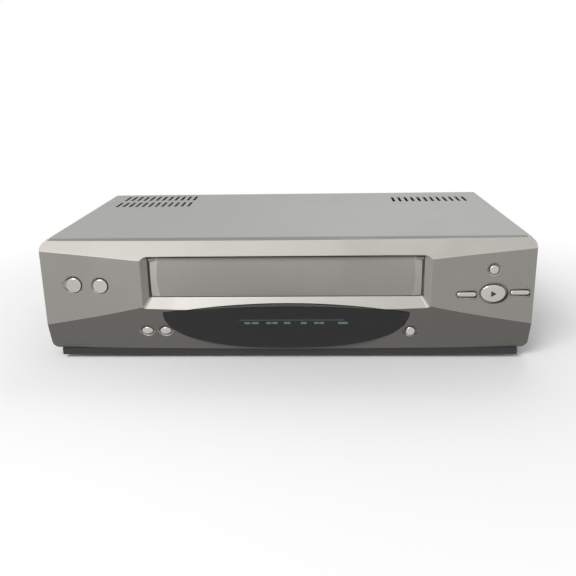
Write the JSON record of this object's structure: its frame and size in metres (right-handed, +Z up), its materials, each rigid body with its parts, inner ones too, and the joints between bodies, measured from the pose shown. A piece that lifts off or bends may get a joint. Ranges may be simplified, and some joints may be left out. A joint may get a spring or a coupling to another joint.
{
  "type": "video cassette recorder",
  "caption": "Low, wide front-loading tape recorder with a hinged cassette door, smoked oval display window, round and pill-shaped front buttons, a steel cover and a tape deck inside.",
  "frame": {"origin": "centre of the bounding box's footprint, on the surface that the feet stand on", "axes": "+X across the front to the viewer's right, +Y to the back, +Z up; the front faces -Y"},
  "size_m": [0.3632, 0.23, 0.0925],
  "materials": {
    "silver_plastic": "fine-grained silver-grey painted moulding",
    "door_silver": "satin silver painted moulding",
    "button_silver": "satin metallic silver paint",
    "smoked_window": "glossy smoked black window",
    "painted_steel": "fine textured silver-grey paint on sheet steel",
    "black_plastic": "fine textured black moulding",
    "rubber": "matt black rubber",
    "plated_steel": "zinc-plated sheet steel",
    "black_screw": "black oxide screw",
    "spring_steel": "drawn spring wire",
    "drum_aluminium": "turned aluminium",
    "bright_steel": "ground and plated steel",
    "white_plastic": "natural moulded acetal",
    "green_board": "lacquered circuit board",
    "tan_board": "paper-based circuit board",
    "board_parts": "moulded electronic parts",
    "display_glass": "dark glass display tube",
    "ribbon": "flat insulated ribbon"
  },
  "bodies": {
    "chassis": {"front_fascia": "silver_plastic", "top_cover": "painted_steel", "door_spring": "spring_steel", "display_lens": "smoked_window", "bottom_chassis": "black_plastic", "rear_panel": "plated_steel", "feet": "rubber", "cover_screws": "black_screw", "left_switch_board": "tan_board", "right_switch_board": "tan_board", "display_board": "green_board", "fluorescent_display": "display_glass", "infrared_receiver": "board_parts", "tuner": "plated_steel", "phono_jacks": "black_plastic", "cord_gland": "black_plastic", "main_board": "green_board", "board_components": "board_parts", "power_board": "tan_board", "power_transformer": "board_parts", "power_capacitors": "board_parts", "heat_sink": "drum_aluminium", "ribbon_cable": "ribbon", "deck_plate": "plated_steel", "side_brackets": "plated_steel", "lower_drum": "drum_aluminium", "drum_stator": "tan_board", "capstan_stator": "tan_board", "drive_belt": "rubber", "loading_motor": "bright_steel", "tape_heads": "bright_steel", "deck_screws": "plated_steel"},
    "cassette_door": {"cassette_door": "door_silver"},
    "power_button": {"power_button": "button_silver"},
    "eject_button": {"eject_button": "button_silver"},
    "channel_down_button": {"channel_down_button": "button_silver"},
    "channel_up_button": {"channel_up_button": "button_silver"},
    "pause_button": {"pause_button": "button_silver"},
    "play_button": {"play_button": "button_silver"},
    "rewind_button": {"rewind_button": "button_silver"},
    "fast_forward_button": {"fast_forward_button": "button_silver"},
    "record_button": {"record_button": "button_silver"},
    "channel_switch": {"channel_switch": "black_plastic"},
    "lift_carriage": {"lift_carriage": "plated_steel"},
    "cassette_basket": {"cassette_basket": "plated_steel"},
    "video_drum": {"upper_drum": "drum_aluminium", "drum_rotor": "bright_steel"},
    "capstan": {"capstan": "bright_steel"},
    "clutch_pulley": {"clutch_pulley": "white_plastic"},
    "idler_arm": {"idler_arm": "plated_steel"},
    "idler_wheel": {"idler_wheel": "white_plastic"},
    "supply_reel": {"supply_reel": "white_plastic"},
    "take_up_reel": {"take_up_reel": "white_plastic"},
    "pinch_arm": {"pinch_arm": "plated_steel"},
    "pinch_roller": {"pinch_roller": "rubber"},
    "cam_gear": {"cam_gear": "white_plastic"},
    "loading_pinion": {"loading_pinion": "white_plastic"},
    "supply_guide": {"supply_guide": "bright_steel"},
    "take_up_guide": {"take_up_guide": "bright_steel"},
    "tension_arm": {"tension_arm": "plated_steel"}
  },
  "joints": [
    {"name": "door_swing", "type": "hinge", "parent": "chassis", "child": "cassette_door", "pos_m": [0, -0.1042, 0.0797], "axis": [1, 0, 0], "range_deg": [0, 90], "stiffness_Nm_per_rad": 0.002},
    {"name": "power_press", "type": "slide", "parent": "chassis", "child": "power_button", "axis": [0, 1, 0], "range_m": [0, 0.0008], "stiffness_N_per_m": 600},
    {"name": "eject_press", "type": "slide", "parent": "chassis", "child": "eject_button", "axis": [0, 1, 0], "range_m": [0, 0.0008], "stiffness_N_per_m": 600},
    {"name": "channel_down_press", "type": "slide", "parent": "chassis", "child": "channel_down_button", "axis": [0, 1, 0], "range_m": [0, 0.0008], "stiffness_N_per_m": 600},
    {"name": "channel_up_press", "type": "slide", "parent": "chassis", "child": "channel_up_button", "axis": [0, 1, 0], "range_m": [0, 0.0008], "stiffness_N_per_m": 600},
    {"name": "pause_press", "type": "slide", "parent": "chassis", "child": "pause_button", "axis": [0, 1, 0], "range_m": [0, 0.0008], "stiffness_N_per_m": 600},
    {"name": "play_press", "type": "slide", "parent": "chassis", "child": "play_button", "axis": [0, 1, 0], "range_m": [0, 0.0008], "stiffness_N_per_m": 600},
    {"name": "rewind_press", "type": "slide", "parent": "chassis", "child": "rewind_button", "axis": [0, 1, 0], "range_m": [0, 0.0008], "stiffness_N_per_m": 600},
    {"name": "fast_forward_press", "type": "slide", "parent": "chassis", "child": "fast_forward_button", "axis": [0, 1, 0], "range_m": [0, 0.0008], "stiffness_N_per_m": 600},
    {"name": "record_press", "type": "slide", "parent": "chassis", "child": "record_button", "axis": [0, 1, 0], "range_m": [0, 0.0008], "stiffness_N_per_m": 600},
    {"name": "channel_select", "type": "slide", "parent": "chassis", "child": "channel_switch", "axis": [1, 0, 0], "range_m": [0, 0.0035]},
    {"name": "carriage_slide", "type": "slide", "parent": "chassis", "child": "lift_carriage", "axis": [0, 1, 0], "range_m": [0, 0.048]},
    {"name": "basket_drop", "type": "slide", "parent": "lift_carriage", "child": "cassette_basket", "axis": [0, 0, -1], "range_m": [0, 0.016]},
    {"name": "drum_spin", "type": "hinge", "parent": "chassis", "child": "video_drum", "pos_m": [0, 0.066, 0.0392], "axis": [0, 0.1045, 0.9945], "continuous": true},
    {"name": "capstan_spin", "type": "hinge", "parent": "chassis", "child": "capstan", "pos_m": [0.054, 0.04, 0.04], "axis": [0, 0, 1], "continuous": true},
    {"name": "clutch_spin", "type": "hinge", "parent": "chassis", "child": "clutch_pulley", "pos_m": [0, 0.004, 0.025], "axis": [0, 0, 1], "continuous": true},
    {"name": "idler_swing", "type": "hinge", "parent": "chassis", "child": "idler_arm", "pos_m": [0, 0.004, 0.026], "axis": [0, 0, 1], "range_deg": [-28, 28]},
    {"name": "idler_spin", "type": "hinge", "parent": "idler_arm", "child": "idler_wheel", "pos_m": [0, -0.024, 0.028], "axis": [0, 0, 1], "continuous": true},
    {"name": "supply_reel_spin", "type": "hinge", "parent": "chassis", "child": "supply_reel", "pos_m": [-0.0462, -0.025, 0.03], "axis": [0, 0, 1], "continuous": true},
    {"name": "take_up_reel_spin", "type": "hinge", "parent": "chassis", "child": "take_up_reel", "pos_m": [0.0462, -0.025, 0.03], "axis": [0, 0, 1], "continuous": true},
    {"name": "pinch_swing", "type": "hinge", "parent": "chassis", "child": "pinch_arm", "pos_m": [0.084, 0.044, 0.05], "axis": [0, 0, 1], "range_deg": [0, 20]},
    {"name": "pinch_roller_spin", "type": "hinge", "parent": "pinch_arm", "child": "pinch_roller", "pos_m": [0.06383, 0.05277, 0.048], "axis": [0, 0, 1], "continuous": true},
    {"name": "cam_turn", "type": "hinge", "parent": "chassis", "child": "cam_gear", "pos_m": [0.082, 0.078, 0.028], "axis": [0, 0, 1], "range_deg": [0, 270]},
    {"name": "pinion_turn", "type": "hinge", "parent": "chassis", "child": "loading_pinion", "pos_m": [0.0604, 0.078, 0.028], "axis": [0, 0, 1], "range_deg": [-945, 0]},
    {"name": "supply_guide_slide", "type": "slide", "parent": "chassis", "child": "supply_guide", "axis": [0, 1, 0], "range_m": [0, 0.048]},
    {"name": "take_up_guide_slide", "type": "slide", "parent": "chassis", "child": "take_up_guide", "axis": [0, 1, 0], "range_m": [0, 0.048]},
    {"name": "tension_swing", "type": "hinge", "parent": "chassis", "child": "tension_arm", "pos_m": [-0.084, 0.008, 0.028], "axis": [0, 0, 1], "range_deg": [0, 20]}
  ],
  "couplings": [
    {"joint": "clutch_spin", "follows": "capstan_spin", "ratio": 0.51667},
    {"joint": "pinion_turn", "follows": "cam_turn", "ratio": -3.5},
    {"joint": "supply_guide_slide", "follows": "cam_turn", "m_per_rad": 0.01018},
    {"joint": "take_up_guide_slide", "follows": "cam_turn", "m_per_rad": 0.01018}
  ]
}
